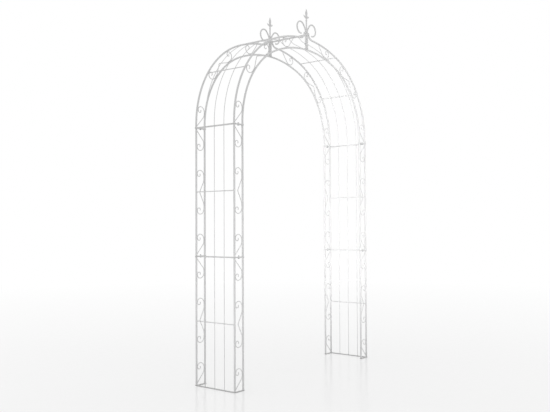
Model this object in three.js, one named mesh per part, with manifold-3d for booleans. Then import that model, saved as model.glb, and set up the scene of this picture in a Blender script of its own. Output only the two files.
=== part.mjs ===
// A garden rose arch of welded steel tube. Each leg is two lattice sections bolted end to end, and two
// arch halves meet under a pair of spear finials. Scroll work fills both faces between the tubes.
// Millimetres, +Z up, +X across the passage and +Y through it. The origin is on the ground, midway
// between the legs. Every section is drawn for the right-hand side, with its foot at the origin and its
// outer tube along +Z, and is then placed, and mirrored for the left.
import * as THREE from "three";
import { mergeVertices } from "three/addons/utils/BufferGeometryUtils.js";
import Module from "manifold-3d";

const wasm = await Module();
wasm.setup();

// Overall frame, to the axes of the tubes
const halfSpan = 735;
const halfDepth = 159;
const bandWidth = 75;
const sectionHeight = 800;

// The three-centred arch, at the axis of the outer tube
const springRise = 20;
const haunchRadius = 610;
const crownRadius = 960;
const flareRadius = 45;

// Stock
const tubeRadius = 6;
const tubeWall = 1;
const barWidth = 12;
const barThickness = 4;
const crossbarRadius = 3;
const wireRadius = 2;
const rodRadius = 2.5;

// Fits: the gap that touching pieces keep, and how far a weld reaches into its neighbour
const seat = 0.3;
const weldBite = 0.6;
const overrun = 5;

// Fineness of the facets
const tubeSides = 8;
const rodSides = 4;
const wireSides = 4;
const stemSides = 6;
const chordSag = 0.8;

// Wires and cross bars of the lattices
const wireCount = 3;
const archBarShares = [0.346, 0.674];
const apexBarRise = 27;

// Scroll work: places run along the outer tube, and reach is to the far edge of a curl
const scrollReach = 140;
const scrollRootRise = 15;
const scrollTouchRise = 80;
const doubleTouchReach = 72;
const doubleVertexShare = 0.36;
const scrollBendRadius = 34;
const vertexBendRadius = 14;
const curlRatioShare = 0.45;
const curlTurns = 1.12;
const curlStep = THREE.MathUtils.degToRad(40);
const archDoubleShare = 0.468;
const upperScrollSetback = 146;

// Apex posts, which lean out from the upright and then turn over as loops
const postRadius = 5;
const loopCentreReach = 65;
const loopCentreRise = 67;
const loopRadius = 39.5;
const loopBendRadius = 30;
const loopLean = THREE.MathUtils.degToRad(38);
const loopTurn = THREE.MathUtils.degToRad(241);
const loopStep = THREE.MathUtils.degToRad(27);

// Spear finials, with rises above the crown of the outer tube's axis
const stemRadius = 4.6;
const tangWidth = 12;
const tangTopRise = 46;
const collarRise = 121;
const collarRadius = 6.4;
const collarHeight = 8;
const barbRise = 151;
const barbReach = 30;
const barbLift = 7;
const barbDepth = 13;
const barbWaistShare = 0.6;
const barbHeelShare = 0.75;
const bladeHalfWidth = 11;
const bladeShoulderRise = 176;
const bladeHeelHalfWidth = 7.5;
const bladeHeelRise = 158;
const tipRise = 203;
const bladeThickness = 6;
const bladeBevel = 1.2;

// Fasteners
const boltRadius = 3;
const boltHoleRadius = 3.4;
const boltHeadRadius = 5.8;
const boltHeadHeight = 4;
const boltTail = 2;
const nutRadius = 5.8;
const nutHeight = 5;
const drainRadius = 3;
const apexBoltRadius = 2;
const apexBoltHoleRadius = 2.4;
const apexHeadRadius = 4;
const apexHeadHeight = 3;
const apexNutHeight = 3.2;
const apexBoltDrop = 38;

// What follows from them
const legHeight = 2 * sectionHeight;
const sectionTop = sectionHeight - seat;
const nearLane = tubeRadius + seat + rodRadius;
const farLane = bandWidth - nearLane;
const weldedLane = bandWidth - tubeRadius - rodRadius + weldBite;
const haunchOffset = halfSpan - haunchRadius;
const crownDrop = Math.sqrt((crownRadius - haunchRadius) ** 2 - haunchOffset ** 2);
const crownLean = Math.asin(haunchOffset / (crownRadius - haunchRadius));
const crownCentreZ = springRise - crownDrop;
const crownTopZ = crownCentreZ + crownRadius;
const haunchLength = (Math.PI / 2 - crownLean) * haunchRadius;
const archLength = springRise + haunchLength + crownLean * crownRadius;
const haunchStretch = haunchRadius / (haunchRadius - bandWidth / 2);
const crownStretch = crownRadius / (crownRadius - bandWidth / 2);
const postOffset = stemRadius + seat + postRadius;
const flareEndOffset = postOffset + postRadius + seat + tubeRadius;
const flareCentreOffset = flareEndOffset + flareRadius;
const flareAngle = Math.asin(flareCentreOffset / (crownRadius + flareRadius));
const flareEndZ = crownCentreZ + (crownRadius + flareRadius) * Math.cos(flareAngle);
const flareStart = archLength - flareAngle * crownRadius;
const postFootZ = crownTopZ - bandWidth + tubeRadius + seat;
const apexBoltZ = crownTopZ - apexBoltDrop;

const whiteCoat = new THREE.Color(0xe9e9e6);
const zincGrey = new THREE.Color(0xb9bcbd);

// A path through given points, with one extrusion step from each point to the next
class PointPath extends THREE.Curve {
  constructor(points) {
    super();
    this.points = points;
  }

  getPoint(t) {
    const last = this.points.length - 1;
    const index = Math.min(Math.floor(t * last), last - 1);
    return new THREE.Vector3().lerpVectors(this.points[index], this.points[index + 1], t * last - index);
  }

  getPointAt(t) {
    return this.getPoint(t);
  }

  getTangentAt(t) {
    const last = this.points.length - 1;
    const index = Math.round(t * last);
    const here = this.points[index];
    const tangent = new THREE.Vector3();
    if (index > 0) tangent.add(here.clone().sub(this.points[index - 1]).normalize());
    if (index < last) tangent.add(this.points[index + 1].clone().sub(here).normalize());
    return tangent.normalize();
  }
}

// A round section drawn as a polygon that has a corner in the plane of the bend
function roundSection(radius, sides) {
  const corners = [];
  for (let side = 0; side < sides; side += 1) {
    const angle = Math.PI / 2 + (side * 2 * Math.PI) / sides;
    corners.push(new THREE.Vector2(radius * Math.cos(angle), radius * Math.sin(angle)));
  }
  return new THREE.Shape(corners);
}

// A round bar or tube along a list of points
function rod(points, radius, sides) {
  const path = new PointPath(points);
  const settings = { extrudePath: path, steps: points.length - 1, bevelEnabled: false };
  return new THREE.ExtrudeGeometry(roundSection(radius, sides), settings);
}

function box(width, depth, height, x, y, z) {
  return new THREE.BoxGeometry(width, depth, height).translate(x, y, z);
}

// A prism along +Z that stands on z
function prism(radius, sides, height, x, z) {
  const shape = new THREE.CylinderGeometry(radius, radius, height, sides);
  return shape.rotateX(Math.PI / 2).translate(x, 0, z + height / 2);
}

function solid(geometry) {
  const bare = geometry.clone();
  bare.deleteAttribute("normal");
  bare.deleteAttribute("uv");
  const merged = mergeVertices(bare);
  const vertProperties = merged.attributes.position.array;
  const triVerts = new Uint32Array(merged.index.array);
  return new wasm.Manifold(new wasm.Mesh({ numProp: 3, vertProperties, triVerts }));
}

function geometryOf(manifold) {
  const mesh = manifold.getMesh();
  const geometry = new THREE.BufferGeometry();
  geometry.setAttribute("position", new THREE.BufferAttribute(mesh.vertProperties, 3));
  geometry.setIndex(new THREE.BufferAttribute(mesh.triVerts, 1));
  geometry.computeVertexNormals();
  return geometry;
}

// The union of some geometries, less some others
function welded(pieces, cuts = []) {
  let whole = solid(pieces[0]);
  for (const piece of pieces.slice(1)) whole = whole.add(solid(piece));
  for (const cut of cuts) whole = whole.subtract(solid(cut));
  return geometryOf(whole);
}

// Places in a section: rise runs along the outer tube's axis, inset from it towards the passage
function onLeg(rise, inset) {
  return new THREE.Vector3(-inset, 0, rise);
}

function onArch(rise, inset) {
  if (rise <= springRise) return onLeg(rise, inset);
  const haunchAngle = (rise - springRise) / haunchRadius;
  if (rise <= springRise + haunchLength) {
    const radius = haunchRadius - inset;
    const x = -haunchRadius + radius * Math.cos(haunchAngle);
    return new THREE.Vector3(x, 0, springRise + radius * Math.sin(haunchAngle));
  }
  const lean = (archLength - rise) / crownRadius;
  const radius = crownRadius - inset;
  return new THREE.Vector3(-halfSpan + radius * Math.sin(lean), 0, crownCentreZ + radius * Math.cos(lean));
}

// The points of a line that follows the arch at one inset, as chords that sag less than chordSag
function archLine(from, to, inset) {
  const stretches = [
    [springRise, springRise + haunchLength, haunchRadius],
    [springRise + haunchLength, archLength, crownRadius],
  ];
  const points = [onArch(from, inset)];
  for (const [start, end, radius] of stretches) {
    const low = Math.max(start, from);
    const high = Math.min(end, to);
    const step = 2 * radius * Math.acos(1 - chordSag / radius);
    const count = Math.ceil((high - low) / step);
    if (low > from) points.push(onArch(low, inset));
    for (let index = 1; index <= count; index += 1) {
      points.push(onArch(low + ((high - low) * index) / count, inset));
    }
  }
  return points;
}

// A bent line in rise and inset: straight runs, with each inner corner rounded by an arc of two steps
function roundedLine(corners, radii) {
  const line = [corners[0]];
  radii.forEach((radius, index) => {
    const corner = corners[index + 1];
    const back = corners[index].clone().sub(corner).normalize();
    const on = corners[index + 2].clone().sub(corner).normalize();
    const half = back.angleTo(on) / 2;
    const setback = radius / Math.tan(half);
    const middle = back.clone().add(on).normalize().multiplyScalar(radius / Math.sin(half) - radius);
    line.push(corner.clone().addScaledVector(back, setback));
    line.push(corner.clone().add(middle));
    line.push(corner.clone().addScaledVector(on, setback));
  });
  line.push(corners[corners.length - 1]);
  return line;
}

// A curl that leaves the far lane and winds in, each half turn a fixed share of the one before
function curl(near, far) {
  const decay = -Math.log(curlRatioShare) / Math.PI;
  const lead = Math.atan(decay);
  const spread = Math.exp(decay * lead) * Math.cos(lead);
  const centreInset = near + ((far - near) * curlRatioShare) / (1 + curlRatioShare);
  const startRadius = (far - centreInset) / spread;
  const topAngle = Math.PI / 2 - lead;
  const topReach = startRadius * Math.exp(-decay * topAngle) * Math.sin(topAngle);
  const centreRise = scrollReach - rodRadius - topReach;
  const count = Math.round((curlTurns * 2 * Math.PI + lead) / curlStep);
  const points = [];
  for (let index = 0; index <= count; index += 1) {
    const angle = -lead + index * curlStep;
    const radius = startRadius * Math.exp(-decay * angle);
    const rise = centreRise + radius * Math.sin(angle);
    points.push(new THREE.Vector2(rise, centreInset + radius * Math.cos(angle)));
  }
  return points;
}

// A J-scroll: from its root at the outer tube across to the inner tube, along it, and into a curl
function hookScroll(root, near, far) {
  const winding = curl(near, far);
  const foot = new THREE.Vector2(scrollRootRise, root);
  const corners = [foot, new THREE.Vector2(scrollTouchRise, far), winding[0]];
  return [...roundedLine(corners, [scrollBendRadius]), ...winding.slice(1)];
}

// A double scroll: two arms that spring from a blunt vertex and end in a curl each
function doubleScroll(near, far) {
  const winding = curl(near, far);
  const mirrored = winding.map((point) => new THREE.Vector2(-point.x, point.y)).reverse();
  const corners = [
    mirrored[mirrored.length - 1],
    new THREE.Vector2(-doubleTouchReach, far),
    new THREE.Vector2(0, near + (far - near) * doubleVertexShare),
    new THREE.Vector2(doubleTouchReach, far),
    winding[0],
  ];
  const radii = [scrollBendRadius, vertexBendRadius, scrollBendRadius];
  return [...mirrored.slice(0, -1), ...roundedLine(corners, radii), ...winding.slice(1)];
}

// A scroll's rod, set at a rise. It runs up from it with a positive stretch and down with a negative
// one. On a leg the stretch is one, and on the arch it makes up for the shorter way round inside the
// outer tube.
function scrollRod(line, place, rise, stretch) {
  const points = line.map((point) => place(rise + stretch * point.x, point.y));
  return rod(points, rodRadius, rodSides);
}

function outerUpright() {
  const foot = barThickness + seat;
  const head = sectionTop - barThickness - seat;
  const skin = rod([onLeg(foot, 0), onLeg(head, 0)], tubeRadius, tubeSides);
  const bore = rod([onLeg(-overrun, 0), onLeg(sectionHeight, 0)], tubeRadius - tubeWall, tubeSides);
  const hook = hookScroll(tubeRadius, nearLane, farLane);
  const hooks = [scrollRod(hook, onLeg, 0, 1), scrollRod(hook, onLeg, sectionTop, -1)];
  return welded([skin, ...hooks], [bore]);
}

// The flat bar from the inner tube's foot to the corner of the end frame, with its bolt hole
function bracket(z) {
  const start = barWidth / 2 + seat;
  const end = bandWidth + barWidth / 2;
  return box(end - start, barWidth, barThickness, -(start + end) / 2, 0, z + barThickness / 2);
}

function boltHole(z) {
  const length = barThickness + nutHeight + 2 * overrun;
  return prism(boltHoleRadius, stemSides, length, -bandWidth / 2, z - overrun);
}

function weldNut() {
  const z = barThickness - weldBite;
  return prism(nutRadius, stemSides, nutHeight + weldBite, -bandWidth / 2, z);
}

// The inner upright stands on its lower bracket, which has a drain hole under the tube's bore
function innerUpright(hasNut) {
  const topBar = sectionTop - barThickness;
  const ends = [barThickness - weldBite, topBar + weldBite];
  const skin = rod([onLeg(ends[0], bandWidth), onLeg(ends[1], bandWidth)], tubeRadius, tubeSides);
  const boreEnds = [onLeg(barThickness, bandWidth), onLeg(topBar, bandWidth)];
  const bore = rod(boreEnds, tubeRadius - tubeWall, tubeSides);
  const drain = prism(drainRadius, stemSides, barThickness + 2 * overrun, -bandWidth, -overrun);
  const double = scrollRod(doubleScroll(nearLane, weldedLane), onLeg, sectionHeight / 2, 1);
  const pieces = [skin, bracket(0), bracket(topBar), double];
  if (hasNut) pieces.push(weldNut());
  return welded(pieces, [bore, drain, boltHole(0), boltHole(topBar)]);
}

function endBar(z) {
  const length = 2 * halfDepth + barWidth;
  return box(barWidth, length, barThickness, 0, 0, z + barThickness / 2);
}

// A round bar that crosses from the front face to the back one, between tubes or posts of endRadius
function crossbar(x, z, endRadius) {
  const reach = halfDepth - endRadius - seat;
  const ends = [new THREE.Vector3(x, -reach, z), new THREE.Vector3(x, reach, z)];
  return rod(ends, crossbarRadius, stemSides);
}

function eachWire(make) {
  const wires = [];
  for (let index = 1; index <= wireCount; index += 1) {
    wires.push(make(-halfDepth + (2 * halfDepth * index) / (wireCount + 1)));
  }
  return wires;
}

// Wires lie on the cross bars with their backs flush with the outer side of the tubes
const wireInset = wireRadius - tubeRadius;
const crossbarInset = wireInset + wireRadius + crossbarRadius - weldBite;

function legLattice() {
  const topBar = sectionTop - barThickness;
  const ends = [onLeg(barThickness - weldBite, wireInset), onLeg(topBar + weldBite, wireInset)];
  const wires = eachWire((y) => rod(ends, wireRadius, wireSides).translate(0, y, 0));
  const middle = crossbar(-crossbarInset, sectionHeight / 2, tubeRadius);
  return welded([endBar(0), endBar(topBar), middle, ...wires]);
}

// The outer arch tube, which sweeps up beside the post in a reversed curve
function outerArchTube() {
  const line = archLine(barThickness + seat, flareStart, 0);
  const centre = new THREE.Vector2(-halfSpan + flareCentreOffset, flareEndZ);
  const turn = Math.PI / 2 - flareAngle;
  const count = Math.ceil(turn / loopStep) + 1;
  for (let index = 1; index <= count; index += 1) {
    const angle = Math.PI / 2 + flareAngle + (turn * index) / count;
    const x = centre.x + flareRadius * Math.cos(angle);
    line.push(new THREE.Vector3(x, 0, centre.y - flareRadius * Math.sin(angle)));
  }
  return rod(line, tubeRadius, tubeSides);
}

function innerArchTube() {
  const line = archLine(barThickness - weldBite, archLength - seat, bandWidth);
  const tube = rod(line, tubeRadius, tubeSides);
  return welded([tube, bracket(0), weldNut()], [boltHole(0)]);
}

function archLattice() {
  const apexBar = new THREE.Vector3(-halfSpan + postOffset, 0, crownTopZ + apexBarRise);
  const bend = archLine(barThickness - weldBite, flareStart, wireInset);
  const wires = eachWire((y) => rod([...bend, apexBar], wireRadius, wireSides).translate(0, y, 0));
  const bars = archBarShares.map((share) => {
    const place = onArch(share * archLength, crossbarInset);
    return crossbar(place.x, place.z, tubeRadius);
  });
  return welded([endBar(0), ...bars, crossbar(apexBar.x, apexBar.z, postRadius), ...wires]);
}

// Scrolls of an arch half, each a rod of its own that clears both tubes
const archNearLane = nearLane + chordSag;

function lowerArchScroll() {
  return scrollRod(hookScroll(archNearLane, archNearLane, farLane), onArch, 0, haunchStretch);
}

function middleArchScroll() {
  const line = doubleScroll(archNearLane, farLane);
  return scrollRod(line, onArch, archDoubleShare * archLength, haunchStretch);
}

function upperArchScroll() {
  const rise = archLength - upperScrollSetback + scrollRootRise;
  return scrollRod(hookScroll(archNearLane, archNearLane, farLane), onArch, rise, -crownStretch);
}

// The post that stands on the inner tube, leans out and turns over as an open loop, drilled for
// the apex bolt
function apexPost() {
  const centre = new THREE.Vector2(loopCentreReach, crownTopZ + loopCentreRise);
  const loop = [];
  const count = Math.round(loopTurn / loopStep);
  for (let index = 0; index <= count; index += 1) {
    const angle = Math.PI - loopLean - (loopTurn * index) / count;
    const x = centre.x + loopRadius * Math.cos(angle);
    loop.push(new THREE.Vector2(x, centre.y + loopRadius * Math.sin(angle)));
  }
  const bendZ = loop[0].y - (loop[0].x - postOffset) / Math.tan(loopLean);
  const foot = new THREE.Vector2(postOffset, postFootZ);
  const corners = [foot, new THREE.Vector2(postOffset, bendZ), loop[0]];
  const line = [...roundedLine(corners, [loopBendRadius]), ...loop.slice(1)];
  const points = line.map((point) => new THREE.Vector3(point.x - halfSpan, 0, point.y));
  return welded([rod(points, postRadius, stemSides)], [apexBoltHole()]);
}

function apexBoltHole() {
  const length = 2 * (postOffset + postRadius + overrun);
  const hole = new THREE.CylinderGeometry(apexBoltHoleRadius, apexBoltHoleRadius, length, stemSides);
  return hole.rotateZ(Math.PI / 2).translate(-halfSpan, 0, apexBoltZ);
}

// The outline of a spear's head, right half from the tip down and then mirrored
function spearOutline() {
  const neckZ = barbRise - barbDepth;
  const right = [
    [0, tipRise],
    [bladeHalfWidth, bladeShoulderRise],
    [bladeHeelHalfWidth, bladeHeelRise],
    [barbReach * barbWaistShare, barbRise],
    [barbReach, barbRise + barbLift],
    [barbReach * barbHeelShare, barbRise - barbDepth / 2],
    [stemRadius, neckZ],
  ];
  const corners = right.map(([x, z]) => new THREE.Vector2(x, z));
  const left = corners.slice(1).reverse().map((corner) => new THREE.Vector2(-corner.x, corner.y));
  return new THREE.Shape([...left, ...corners]);
}

function spear() {
  const tangTopZ = crownTopZ + tangTopRise;
  const tang = box(2 * stemRadius, tangWidth, tangTopZ - postFootZ, 0, 0, (tangTopZ + postFootZ) / 2);
  const collarZ = crownTopZ + collarRise;
  const stemFoot = new THREE.Vector3(0, 0, tangTopZ - weldBite);
  const stem = rod([stemFoot, new THREE.Vector3(0, 0, crownTopZ + barbRise)], stemRadius, stemSides);
  const profile = [
    [0, 0],
    [stemRadius, 0],
    [collarRadius, collarHeight / 2],
    [stemRadius, collarHeight],
    [0, collarHeight],
  ].map(([radius, height]) => new THREE.Vector2(radius, height));
  const collar = new THREE.LatheGeometry(profile, tubeSides).rotateX(Math.PI / 2).translate(0, 0, collarZ);
  const settings = {
    depth: bladeThickness - 2 * bladeBevel,
    bevelThickness: bladeBevel,
    bevelSize: bladeBevel,
    bevelOffset: -bladeBevel,
    bevelSegments: 1,
  };
  const head = new THREE.ExtrudeGeometry(spearOutline(), settings);
  head.translate(0, 0, bladeBevel - bladeThickness / 2).rotateX(Math.PI / 2).translate(0, 0, crownTopZ);
  return welded([tang, stem, collar, head], [apexBoltHole().translate(halfSpan, 0, 0)]);
}

// The bolt of a section joint, which enters from below through both brackets into the weld nut
function jointBolt() {
  const headTop = -seat - barThickness - seat;
  const length = barThickness + nutHeight + boltTail - headTop + weldBite;
  const head = prism(boltHeadRadius, stemSides, boltHeadHeight, 0, headTop - boltHeadHeight);
  return welded([head, prism(boltRadius, stemSides, length, 0, headTop - weldBite)]);
}

// The bolt of the apex, along X through post, tang and post
const apexGrip = postOffset + postRadius + seat;

function apexBolt() {
  const length = 2 * apexGrip + apexNutHeight + boltTail + weldBite;
  const head = prism(apexHeadRadius, stemSides, apexHeadHeight, 0, apexGrip);
  const shank = prism(apexBoltRadius, stemSides, length, 0, apexGrip + weldBite - length);
  return welded([head, shank]).rotateY(Math.PI / 2);
}

function apexNut() {
  const end = -apexGrip - apexNutHeight;
  const nut = prism(apexHeadRadius, stemSides, apexNutHeight, 0, end);
  const bore = prism(apexBoltHoleRadius, stemSides, apexNutHeight + 2 * overrun, 0, end - overrun);
  return welded([nut], [bore]).rotateY(Math.PI / 2);
}

function coated() {
  return new THREE.MeshStandardMaterial({ color: whiteCoat, roughness: 0.45, metalness: 0 });
}

function plated() {
  return new THREE.MeshStandardMaterial({ color: zincGrey, roughness: 0.35, metalness: 0.9 });
}

function addMesh(group, name, geometry, material, position) {
  const mesh = new THREE.Mesh(geometry, material);
  mesh.name = name;
  mesh.position.copy(position);
  group.add(mesh);
}

const faces = [["front", -halfDepth], ["back", halfDepth]];
const sections = [["lower", 0], ["upper", sectionHeight]];
const shapes = {
  outerUpright: outerUpright(),
  plainInner: innerUpright(false),
  nuttedInner: innerUpright(true),
  legLattice: legLattice(),
  outerArch: outerArchTube(),
  innerArch: innerArchTube(),
  archLattice: archLattice(),
  lowerScroll: lowerArchScroll(),
  middleScroll: middleArchScroll(),
  upperScroll: upperArchScroll(),
  post: apexPost(),
  bolt: jointBolt(),
};

function addLeg(side, sideName) {
  for (const [sectionName, base] of sections) {
    const stem = `${sideName}_${sectionName}`;
    const inner = base > 0 ? shapes.nuttedInner : shapes.plainInner;
    addMesh(side, `${stem}_lattice`, shapes.legLattice, coated(), new THREE.Vector3(halfSpan, 0, base));
    for (const [faceName, y] of faces) {
      const foot = new THREE.Vector3(halfSpan, y, base);
      addMesh(side, `${stem}_${faceName}_outer_upright`, shapes.outerUpright, coated(), foot);
      addMesh(side, `${stem}_${faceName}_inner_upright`, inner, coated(), foot);
      const bolt = new THREE.Vector3(halfSpan - bandWidth / 2, y, base + sectionHeight);
      addMesh(side, `${stem}_${faceName}_joint_bolt`, shapes.bolt, plated(), bolt);
    }
  }
}

function addArchHalf(side, sideName) {
  const stem = `${sideName}_arch`;
  addMesh(side, `${stem}_lattice`, shapes.archLattice, coated(), new THREE.Vector3(halfSpan, 0, legHeight));
  for (const [faceName, y] of faces) {
    const foot = new THREE.Vector3(halfSpan, y, legHeight);
    addMesh(side, `${stem}_${faceName}_outer_tube`, shapes.outerArch, coated(), foot);
    addMesh(side, `${stem}_${faceName}_inner_tube`, shapes.innerArch, coated(), foot);
    addMesh(side, `${stem}_${faceName}_lower_scroll`, shapes.lowerScroll, coated(), foot);
    addMesh(side, `${stem}_${faceName}_middle_scroll`, shapes.middleScroll, coated(), foot);
    addMesh(side, `${stem}_${faceName}_upper_scroll`, shapes.upperScroll, coated(), foot);
    addMesh(side, `${sideName}_${faceName}_apex_post`, shapes.post, coated(), foot);
  }
}

function addApex(arch) {
  const finial = spear();
  const bolt = apexBolt();
  const nut = apexNut();
  for (const [faceName, y] of faces) {
    addMesh(arch, `${faceName}_spear`, finial, coated(), new THREE.Vector3(0, y, legHeight));
    const crossing = new THREE.Vector3(0, y, legHeight + apexBoltZ);
    addMesh(arch, `${faceName}_apex_bolt`, bolt, plated(), crossing);
    addMesh(arch, `${faceName}_apex_nut`, nut, plated(), crossing);
  }
}

const roseArch = new THREE.Group();
for (const [sideName, mirror] of [["right", 1], ["left", -1]]) {
  const side = new THREE.Group();
  side.scale.x = mirror;
  addLeg(side, sideName);
  addArchHalf(side, sideName);
  roseArch.add(side);
}
addApex(roseArch);

export default roseArch;
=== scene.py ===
"""A garden rose arch in white powder-coated steel: round tubes, bent scroll rods, weld beads and zinc
fasteners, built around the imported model, with its studio floor, lights and camera."""
import math

import bmesh
import bpy
from mathutils import Matrix, Vector


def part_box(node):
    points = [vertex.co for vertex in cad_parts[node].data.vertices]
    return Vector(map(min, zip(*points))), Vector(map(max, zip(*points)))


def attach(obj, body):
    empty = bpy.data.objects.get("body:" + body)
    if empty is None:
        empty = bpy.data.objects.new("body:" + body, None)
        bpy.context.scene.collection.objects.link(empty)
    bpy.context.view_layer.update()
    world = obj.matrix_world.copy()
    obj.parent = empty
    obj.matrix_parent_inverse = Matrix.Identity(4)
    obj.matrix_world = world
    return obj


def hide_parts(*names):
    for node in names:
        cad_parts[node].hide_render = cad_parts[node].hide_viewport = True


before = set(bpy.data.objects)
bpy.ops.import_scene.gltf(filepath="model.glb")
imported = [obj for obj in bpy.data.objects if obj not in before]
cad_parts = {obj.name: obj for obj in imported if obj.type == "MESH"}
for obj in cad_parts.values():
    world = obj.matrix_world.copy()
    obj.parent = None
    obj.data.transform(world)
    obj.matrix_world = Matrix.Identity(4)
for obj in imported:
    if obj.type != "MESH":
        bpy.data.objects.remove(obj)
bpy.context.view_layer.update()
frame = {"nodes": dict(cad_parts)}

bl_info = {
    "name": "Garden Rose Arch",
    "version": (1, 0, 0),
    "blender": (4, 5, 0),
    "location": "3D View > Sidebar > Rose Arch",
    "description": "Builds a welded rose arch with scroll work, spear finials and its studio",
    "category": "Add Mesh",
}

LATTICE_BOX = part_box("right_lower_lattice")
SIDES = (("right", 1), ("left", -1))
FACES = (("front", -1), ("back", 1))
SECTIONS = ("lower", "upper")
X, Y, Z = Matrix.Identity(3)

# Facets of round shapes
HOLE_SIDES = 20
FILLET_SIDES = 16
BEAD_SIDES = (8, 5)
FLOOR_SIDES = 96

# Bends that are sharp: of any piece, of a bracket and of a spear's head
SHARP = math.radians(42)
BRACKET_SHARP = math.radians(50)
HEAD_SHARP = math.radians(80)

# Points nearer than this are one
MERGE = 1e-6

# Rounding of the ends of bars and of hexagons, as shares of their radius
EASE_SHARES = {"upright": 0.08, "crossbar": 0.15, "flare": 0.2, "post": 0.35, "scroll": 0.45}
HEXAGON_EASE_SHARE = 0.09

# Weld beads and fillets, as shares of what they hold. A pair is half length and half girth, and the
# nut's pair is in metres
WIRE_WELD_SHARES = Vector((1.5, 0.9))
WIRE_END_WELD_SHARES = Vector((1.7, 0.8))
CROSSBAR_WELD_SHARES = Vector((1.25, 1.15))
TANG_WELD_SHARE = 0.42
STEM_WELD_SHARE = 0.8
FLARE_WELD_SHARE = 1.4
SCROLL_WELD_SHARE = 0.62
FILLET_SHARE = 0.8
FILLET_TOP_SHARE = 0.1
NUT_WELD_REACH_SHARE = 0.92
NUT_WELD = (0.0018, 0.0011)
NUT_WELDS = 3

# Where the bends of scrolls and the feet of posts are welded
HOOK_WELD_SHARE = 0.35
DOUBLE_WELD_SHARE = 0.4
POST_WELD_SHARES = (0.8, 0.1)

# Outlines of the collar, as reach and rise, of the barbs and of a thread
COLLAR_SHARES = ((0.9, 0.25), (1.0, 0.5), (0.9, 0.75))
BARB_WAIST_SHARE = 0.6
BARB_HEEL_SHARE = 0.75
THREAD_DEPTH_SHARE = 0.5

# The studio, with each lamp's place, aim, panel and spread in degrees
STRIP_LAMP = ((-3.54, -2.65, 1.3), (0.71, 0.01, 1.3), (0.55, 1.8), 11)
FRONT_LAMP = ((-4.4, -3.8, 0.75), (0, 0, 0.75), (1.4, 1.2), 16)
FLOOR_RADIUS = 40.0
FLOOR_GAP = 0.0004
SENSOR_WIDTH = 36.0
WHITE = (1, 1, 1, 1)


def length(label, note, metres):
    """A property for a size in metres."""
    return bpy.props.FloatProperty(name=label, description=note, default=metres, subtype="DISTANCE",
                                   unit="LENGTH", precision=4, min=0.0)


def angle(label, note, degrees):
    """A property for an angle, kept in radians."""
    return bpy.props.FloatProperty(name=label, description=note, default=math.radians(degrees),
                                   subtype="ANGLE", unit="ROTATION")


def share(label, note, value):
    """A property for a share of another size."""
    return bpy.props.FloatProperty(name=label, description=note, default=value, subtype="FACTOR",
                                   min=0.0, max=4.0)


def plain(label, note, value):
    """A property for the power of a lamp or the length of a lens."""
    return bpy.props.FloatProperty(name=label, description=note, default=value, min=0.0)


def count(label, note, value):
    """A property for a number of copies or facets."""
    return bpy.props.IntProperty(name=label, description=note, default=value, min=1)


def paint(label, note, code):
    """A property for a colour, given as an sRGB hex value."""
    return bpy.props.FloatVectorProperty(name=label, description=note, default=linear(code), size=4,
                                         subtype="COLOR", min=0.0, max=1.0)


def group(kind, label, note):
    """A property that holds a group of others."""
    return bpy.props.PointerProperty(type=kind, name=label, description=note)


def linear(code):
    """The linear colour of an sRGB hex value such as "E9E9E6"."""
    parts = [int(code[place:place + 2], 16) / 255 for place in (0, 2, 4)]
    return (*[part / 12.92 if part <= 0.04045 else ((part + 0.055) / 1.055) ** 2.4 for part in parts], 1.0)


class RoseArchFrame(bpy.types.PropertyGroup):
    """Sizes to the axes of the tubes."""
    half_span: length("Half span", "Middle of the passage to the outer tubes",
                      (LATTICE_BOX[0].x + LATTICE_BOX[1].x) / 2)
    half_depth: length("Half depth", "Middle plane to the tubes of a face",
                       LATTICE_BOX[1].y - (LATTICE_BOX[1].x - LATTICE_BOX[0].x) / 2)
    band: length("Band width", "Outer tube to inner one", 0.075)
    section: length("Section height", "Height of one leg section", 0.8)
    spring: length("Spring rise", "Straight foot of the arch above its joint", 0.02)
    haunch: length("Haunch radius", "Outer tube's bend over the haunches", 0.61)
    crown: length("Crown radius", "Outer tube's bend over the crown", 0.96)
    flare: length("Flare radius", "Reversed bend beside the apex posts", 0.045)


class RoseArchStock(bpy.types.PropertyGroup):
    """Tube, bar, rod and wire."""
    tube: length("Tube radius", "Radius of the uprights and arch tubes", 0.006)
    bar_width: length("Bar width", "Width of the flat bars", 0.012)
    bar: length("Bar thickness", "Thickness of the flat bars", 0.004)
    bar_ease: length("Bar edge", "Rounding of the flat bars' edges", 0.0006)
    crossbar: length("Cross bar radius", "Radius of the round cross bars", 0.003)
    wire: length("Wire radius", "Radius of the lattice wires", 0.002)
    rod: length("Scroll rod radius", "Radius of the scrolls' rod", 0.0025)
    seat: length("Seat", "Gap that touching pieces keep", 0.0003)
    bite: length("Weld bite", "How far a weld reaches into its neighbour", 0.0006)
    bead: length("Weld bead", "Half the length of a weld bead", 0.0048)
    wires: count("Wires", "Wires in each lattice", 3)
    low_bar: share("Low arch cross bar", "Place of the lower one along the tube", 0.346)
    high_bar: share("High arch cross bar", "Place of the upper one along the tube", 0.674)


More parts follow.
